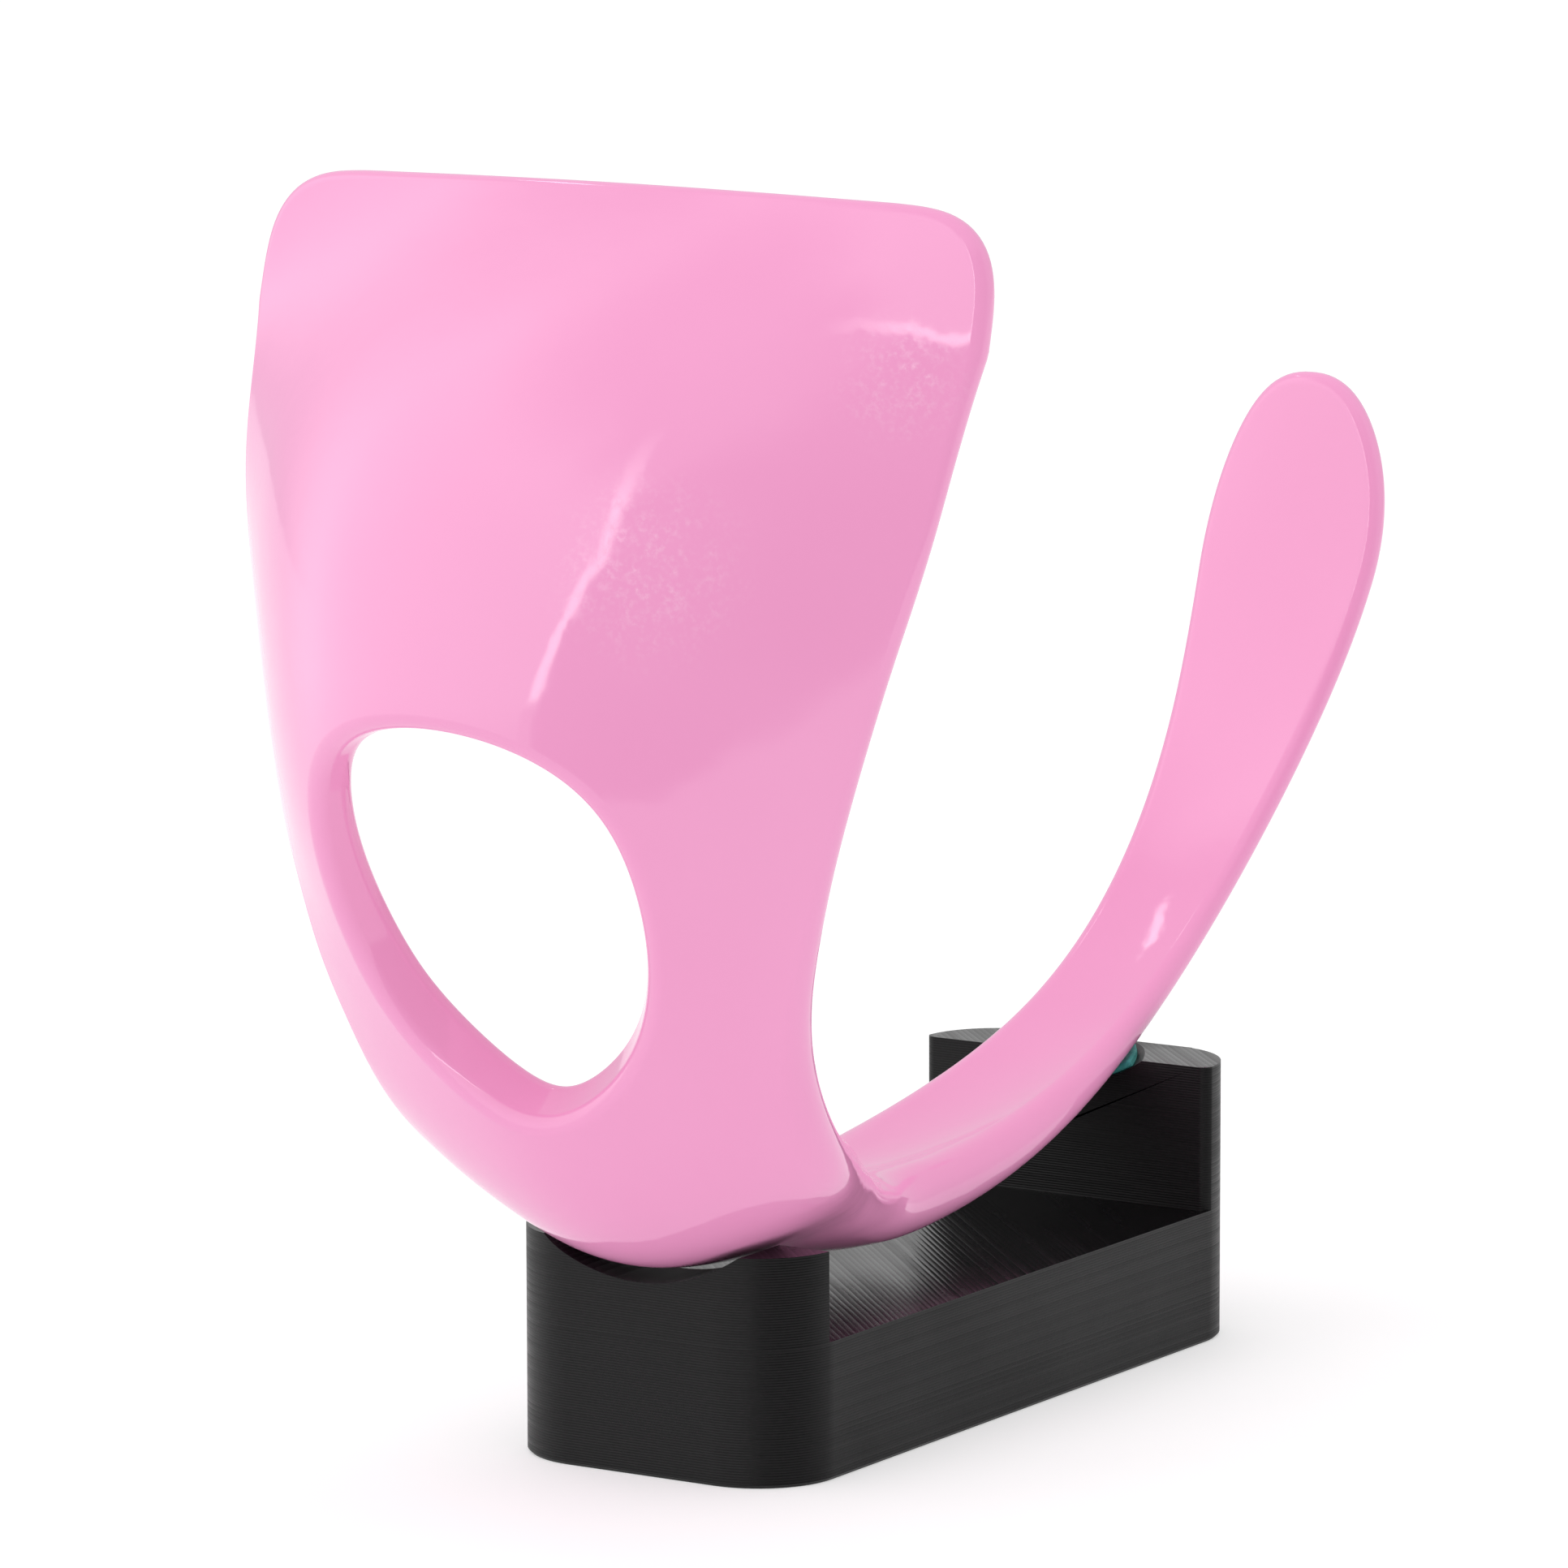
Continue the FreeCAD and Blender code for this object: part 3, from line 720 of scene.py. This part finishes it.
def stand_material(kind):
    m, nt, b = new_mat("print_black_" + kind)
    v = coords(nt)
    sep = node(nt, "ShaderNodeSeparateXYZ")
    nt.links.new(v, sep.inputs[0])
    grain = noise(nt, v, 2600, 2.0, 0.6)
    blot = noise(nt, v, 110, 2.0)
    col = mix(nt, remap(nt, grain, 0.3, 0.7, 0, 1), (0.0026, 0.0026, 0.0028, 1), (0.0046, 0.0046, 0.0049, 1))
    if kind == "wall":
        wob = remap(nt, noise(nt, v, 90, 1.0), 0.3, 0.7, -0.00002, 0.00002)
        z = math_node(nt, "ADD", sep.outputs[2], wob)
        ph = math_node(nt, "MULTIPLY", z, math.pi / 0.0002)
        ridge = math_node(nt, "ABSOLUTE", math_node(nt, "SINE", ph))
        layer = math_node(nt, "FLOOR", math_node(nt, "MULTIPLY", sep.outputs[2], 5000.0))
        wn = node(nt, "ShaderNodeTexWhiteNoise", noise_dimensions="1D")
        nt.links.new(layer, wn.inputs["W"])
        shift = wn.outputs["Value"]
        # a slightly proud layer where the platform closes
        hull = remap(nt, math_node(nt, "ABSOLUTE", math_node(nt, "SUBTRACT", sep.outputs[2], 0.0105)), 0.0, 0.00022, 1.0, 0.0, True)
        h = math_node(nt, "ADD", math_node(nt, "ADD", math_node(nt, "MULTIPLY", ridge, 0.75), math_node(nt, "MULTIPLY", shift, 0.35)), math_node(nt, "MULTIPLY", hull, 0.9))
        n1 = bump(nt, h, 0.000020, 1.0)
        rough = math_node(nt, "ADD", remap(nt, blot, 0.3, 0.7, 0.38, 0.46), remap(nt, shift, 0, 1, -0.05, 0.05))
        b.inputs["Specular IOR Level"].default_value = 0.22
    else:
        diag = math_node(nt, "ADD", sep.outputs[0], sep.outputs[1])
        wob = remap(nt, noise(nt, v, 160, 1.0), 0.3, 0.7, -0.00003, 0.00003)
        diag = math_node(nt, "ADD", diag, wob)
        ph = math_node(nt, "MULTIPLY", diag, math.pi / (0.00048 * math.sqrt(2)))
        ridge = math_node(nt, "ABSOLUTE", math_node(nt, "SINE", ph))
        line = math_node(nt, "FLOOR", math_node(nt, "MULTIPLY", diag, 1.0 / (0.00048 * math.sqrt(2))))
        wn = node(nt, "ShaderNodeTexWhiteNoise", noise_dimensions="1D")
        nt.links.new(line, wn.inputs["W"])
        shift = wn.outputs["Value"]
        h = math_node(nt, "ADD", math_node(nt, "MULTIPLY", ridge, 0.8), math_node(nt, "MULTIPLY", shift, 0.3))
        n1 = bump(nt, h, 0.000022, 1.0)
        rough = math_node(nt, "ADD", remap(nt, blot, 0.3, 0.7, 0.20, 0.26), remap(nt, shift, 0, 1, -0.04, 0.06))
        b.inputs["Specular IOR Level"].default_value = 0.5
    n2 = bump(nt, grain, 0.000004, 1.0, n1)
    nt.links.new(col, b.inputs["Base Color"])
    nt.links.new(rough, b.inputs["Roughness"])
    b.inputs["IOR"].default_value = 1.46
    nt.links.new(n2, b.inputs["Normal"])
    return m


def pad_material():
    m, nt, b = new_mat("teal_foam")
    v = coords(nt)
    cell = node(nt, "ShaderNodeTexVoronoi", feature="F1")
    cell.inputs["Scale"].default_value = 4200
    nt.links.new(v, cell.inputs["Vector"])
    mott = noise(nt, v, 700, 3.0)
    col = mix(nt, remap(nt, mott, 0.3, 0.7, 0, 1), (0.030, 0.27, 0.245, 1), (0.055, 0.36, 0.33, 1))
    # painted shade in the pores: the foam turns darker teal toward the bottom of each bumped pit
    col = mix(nt, remap(nt, cell.outputs["Distance"], 0.0, 0.35, 0.35, 0.0), col, (0.012, 0.13, 0.12, 1))
    nt.links.new(col, b.inputs["Base Color"])
    nt.links.new(remap(nt, mott, 0.3, 0.7, 0.62, 0.8), b.inputs["Roughness"])
    nt.links.new(bump(nt, cell.outputs["Distance"], 0.00004, 0.8), b.inputs["Normal"])
    return m


cuff.data.materials.append(cuff_material())
wall_m, top_m = stand_material("wall"), stand_material("top")
stand.data.materials.append(wall_m)
stand.data.materials.append(top_m)
for pl in stand.data.polygons:
    c = pl.center
    in_notch = abs(c.x) < 0.0085 and ((c.y < -0.0275 and 0.0125 < c.z < 0.0173) or (c.y > 0.0265 and 0.0125 < c.z < 0.0219))
    pl.material_index = 1 if (pl.normal.z > 0.9 and not in_notch) else 0
pad.data.materials.append(pad_material())

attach(cuff, "cuff")
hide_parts("cuff_body")
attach(stand, "stand")
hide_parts("cradle_stand")
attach(pad, "stand")
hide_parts("notch_pad")

# ------------------------------------------------------------------ studio
fm, fnt, fb = new_mat("pale_floor")
fv = coords(fnt)
fcol = mix(fnt, remap(fnt, noise(fnt, fv, 14, 3.0), 0.3, 0.7, 0, 1), (0.60, 0.60, 0.60, 1), (0.62, 0.62, 0.62, 1))
fnt.links.new(fcol, fb.inputs["Base Color"])
fnt.links.new(remap(fnt, noise(fnt, fv, 60, 2.0), 0.3, 0.7, 0.7, 0.8), fb.inputs["Roughness"])
fb.inputs["Specular IOR Level"].default_value = 0.1
fb.inputs["Emission Color"].default_value = (1, 1, 1, 1)
fb.inputs["Emission Strength"].default_value = 0.41
bm = bmesh.new()
bmesh.ops.create_grid(bm, x_segments=2, y_segments=2, size=6.0)
me = bpy.data.meshes.new("floor")
bm.to_mesh(me)
bm.free()
floor = bpy.data.objects.new("floor", me)
me.materials.append(fm)
scene.collection.objects.link(floor)

world = bpy.data.worlds.new("studio")
world.use_nodes = True
world.node_tree.nodes["Background"].inputs[0].default_value = (1, 1, 1, 1)
world.node_tree.nodes["Background"].inputs[1].default_value = WORLD
scene.world = world


def direction(az, el):
    """Unit vector towards azimuth az (from -Y towards +X) and elevation el, in degrees."""
    a, e = math.radians(az), math.radians(el)
    return Vector((math.sin(a) * math.cos(e), -math.cos(a) * math.cos(e), math.sin(e)))


def softbox(name, az, el, dist, w, h, radiance, aim=(0, 0, 0.055)):
    d = bpy.data.lights.new(name, "AREA")
    d.shape = "RECTANGLE"
    d.size, d.size_y = w, h
    d.energy = radiance * math.pi * w * h
    o = bpy.data.objects.new(name, d)
    o.location = Vector(aim) + direction(az, el) * dist
    o.rotation_euler = (Vector(aim) - o.location).to_track_quat("-Z", "Y").to_euler()
    o.visible_camera = False
    o.visible_glossy = False
    scene.collection.objects.link(o)
    return o


softbox("key_left", -40, 35, 0.8, 0.9, 0.7, KEY)
softbox("overhead", 0, 90, 2.5, 8.0, 8.0, TOP)

# studio cards that only reflections see: a bright wrap on the left, a thin strip
# along its edge and a dark flag beside the camera
EYE = Vector((0.004, -0.052, 0.062))


def card(name, cols, radius, glow, grey=0.0, dark=False):
    """cols is a list of columns, each a list of (azimuth, elevation, fade 0..1)."""
    b = bmesh.new()
    lay = b.verts.layers.float.new("fade")
    grid = []
    for col in cols:
        out = []
        for az, el, fade in col:
            d = direction(az, el)
            r = radius
            if d.z < 0:
                r = min(r, (EYE.z - 0.0008) / -d.z)
            v = b.verts.new(EYE + d * r)
            v[lay] = fade
            out.append(v)
        grid.append(out)
    for i in range(len(grid) - 1):
        for k in range(len(grid[0]) - 1):
            b.faces.new((grid[i][k], grid[i + 1][k], grid[i + 1][k + 1], grid[i][k + 1]))
    me = bpy.data.meshes.new(name)
    b.to_mesh(me)
    b.free()
    m = bpy.data.materials.new(name)
    m.use_nodes = True
    nt = m.node_tree
    nt.nodes.clear()
    out = nt.nodes.new("ShaderNodeOutputMaterial")
    em = nt.nodes.new("ShaderNodeEmission")
    tr = nt.nodes.new("ShaderNodeBsdfTransparent")
    mx = nt.nodes.new("ShaderNodeMixShader")
    at = node(nt, "ShaderNodeAttribute", attribute_name="fade")
    em.inputs["Strength"].default_value = glow
    em.inputs["Color"].default_value = (1, 1, 1, 1)
    nt.links.new(at.outputs["Fac"], mx.inputs[0])
    nt.links.new(tr.outputs[0], mx.inputs[1])
    nt.links.new(em.outputs[0], mx.inputs[2])
    nt.links.new(mx.outputs[0], out.inputs[0])
    me.materials.append(m)
    o = bpy.data.objects.new(name, me)
    scene.collection.objects.link(o)
    o.visible_camera = False
    o.visible_diffuse = False
    o.visible_shadow = False
    o.visible_transmission = False
    o.visible_volume_scatter = False
    return o


def ramp(v, a, b):
    t = min(1.0, max(0.0, (v - a) / (b - a)))
    return t * t * (3 - 2 * t)


def seam(el):
    """Azimuth of the edge between the bright wrap and the dark side."""
    return float(np.interp(el, (-12, -7, 15, 28, 46, 63, 73, 80), (9, 12, 20, 23.5, 21, 14, -6, -50)))


els = [-22 + 102 * i / 68 for i in range(69)]
cols = []
for i in range(61):
    q = i / 60
    col = []
    for el in els:
        az = -140 + (seam(el) + 140) * q
        col.append((az, el, ramp(el, -22, -6) * ramp(az, -112, -88) * (1 - ramp(el, 52, 76)) * (1 - ramp(el, 44, 62) * ramp(az, seam(el) - 26, seam(el)))))
    cols.append(col)
card("wrap", cols, 0.55, WRAP)

sels = [-9 + 84 * i / 60 for i in range(61)]
cols = []
for w in (0.0, 1.2, 3.4, 4.8):
    cols.append([(seam(el) + (w - 0.6) * (1.0 if el < 50 else 1.0 + (el - 50) / 12), el, (1.0 if 0.5 < w < 4 else 0.0) * ramp(el, -9, -6) * (0.3 + 0.7 * (1 - ramp(el, 40, 55))) * (1 - ramp(el, 52, 63))) for el in sels])
card("strip", cols, 0.53, STRIP)

# a short tube up on the left that only the top edge's rounding mirrors
cols = []
for i in range(13):
    q = i / 12
    cols.append([(-128 + 11 * q + 2 * v, 45 + 9 * q, (1.0 if abs(v) < 0.7 else 0.0) * ramp(q, 0, 0.2) * (1 - ramp(q, 0.8, 1))) for v in (-1, -0.6, 0.6, 1)])
card("tube", cols, 0.5, TUBE)


def flag_low(az):
    return float(np.interp(az, (10, 20, 42, 58, 71, 90, 130), (-24, -27, -29, -28, -20, -15, -12)))


cols = []
for i in range(61):
    q = i / 60
    col = []
    for k in range(50):
        t = k / 49
        az0 = 24 + 104 * q
        el = flag_low(az0) + (62 - flag_low(az0)) * t
        az = seam(max(el, -12)) + 3.5 + (128 - seam(max(el, -12)) - 3.5) * q
        col.append((az, el, ramp(t, 0.0, 0.03) * (1 - ramp(el, 38, 58)) * (1 - ramp(az, 96, 128)) * ramp(q, 0.0, 0.02 + 0.2 * ramp(el, 38, 56))))
    cols.append(col)
card("flag", cols, 0.545, FLAG)

scene.view_settings.view_transform = "Standard"
scene.view_settings.look = "None"
scene.view_settings.exposure = 0.0
scene.view_settings.gamma = 1.0
